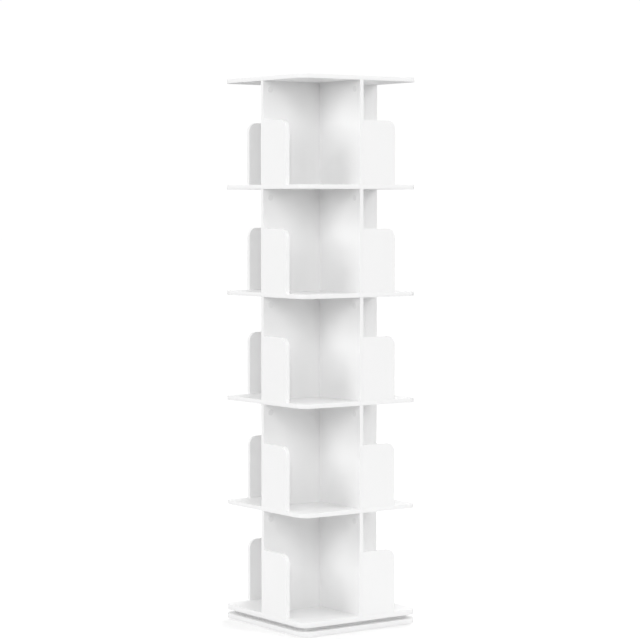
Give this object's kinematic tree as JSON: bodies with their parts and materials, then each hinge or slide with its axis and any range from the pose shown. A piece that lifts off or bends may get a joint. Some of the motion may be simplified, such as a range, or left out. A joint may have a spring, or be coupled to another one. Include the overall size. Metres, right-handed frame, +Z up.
{
  "type": "revolving bookcase",
  "caption": "Tall square bookcase with open corner compartments in tiers, which turns on a ball-bearing ring above a fixed base plate.",
  "frame": {"origin": "on the floor, under the middle of the base plate, at the undersides of the foot pads", "axes": "+Z up along the turning axis, +X towards the right side and +Y towards the rear, square to the boards at rest"},
  "size_m": [0.4, 0.4, 1.5585],
  "materials": {
    "white_laminate": "white melamine laminate with matching edge band, satin",
    "cap_plastic": "white, fine satin",
    "plated_steel": "bright zinc plated",
    "cam_zinc": "die-cast, dull",
    "turntable_ring": "turned and satin anodised",
    "bearing_steel": "polished",
    "cage_nylon": "natural nylon",
    "beech": "fluted beech dowel, dry",
    "rubber_pad": "matt"
  },
  "bodies": {
    "base": {"base_plate": "white_laminate", "foot_pads": "rubber_pad", "bearing_outer_ring": "turntable_ring", "base_ring_screws": "plated_steel", "left_rail": "white_laminate", "front_rail": "white_laminate", "right_rail": "white_laminate", "rear_rail": "white_laminate", "rail_screws": "plated_steel"},
    "ball_cage": {"bearing_balls": "bearing_steel", "bearing_cage": "cage_nylon"},
    "tower": {"bearing_inner_ring": "turntable_ring", "deck_ring_screws": "plated_steel", "bottom_board": "white_laminate", "shelf_1": "white_laminate", "shelf_2": "white_laminate", "shelf_3": "white_laminate", "shelf_4": "white_laminate", "top_board": "white_laminate", "long_divider_1": "white_laminate", "long_divider_2": "white_laminate", "long_divider_3": "white_laminate", "long_divider_4": "white_laminate", "long_divider_5": "white_laminate", "front_divider_1": "white_laminate", "front_divider_2": "white_laminate", "front_divider_3": "white_laminate", "front_divider_4": "white_laminate", "front_divider_5": "white_laminate", "rear_divider_1": "white_laminate", "rear_divider_2": "white_laminate", "rear_divider_3": "white_laminate", "rear_divider_4": "white_laminate", "rear_divider_5": "white_laminate", "left_baffle_1": "white_laminate", "left_baffle_2": "white_laminate", "left_baffle_3": "white_laminate", "left_baffle_4": "white_laminate", "left_baffle_5": "white_laminate", "front_baffle_1": "white_laminate", "front_baffle_2": "white_laminate", "front_baffle_3": "white_laminate", "front_baffle_4": "white_laminate", "front_baffle_5": "white_laminate", "right_baffle_1": "white_laminate", "right_baffle_2": "white_laminate", "right_baffle_3": "white_laminate", "right_baffle_4": "white_laminate", "right_baffle_5": "white_laminate", "rear_baffle_1": "white_laminate", "rear_baffle_2": "white_laminate", "rear_baffle_3": "white_laminate", "rear_baffle_4": "white_laminate", "rear_baffle_5": "white_laminate", "divider_screws": "plated_steel", "baffle_screws": "plated_steel", "top_dowels": "beech", "cross_dowels": "beech", "baffle_dowels": "beech", "cam_bolts": "plated_steel", "cam_locks": "cam_zinc", "cam_caps": "cap_plastic"}
  },
  "joints": [
    {"name": "tower_spin", "type": "hinge", "parent": "base", "child": "tower", "pos_m": [0, 0, 0.02275], "axis": [0, 0, 1], "continuous": true},
    {"name": "cage_spin", "type": "hinge", "parent": "base", "child": "ball_cage", "pos_m": [0, 0, 0.02275], "axis": [0, 0, 1], "continuous": true}
  ],
  "couplings": [
    {"joint": "cage_spin", "follows": "tower_spin", "ratio": 0.489}
  ]
}
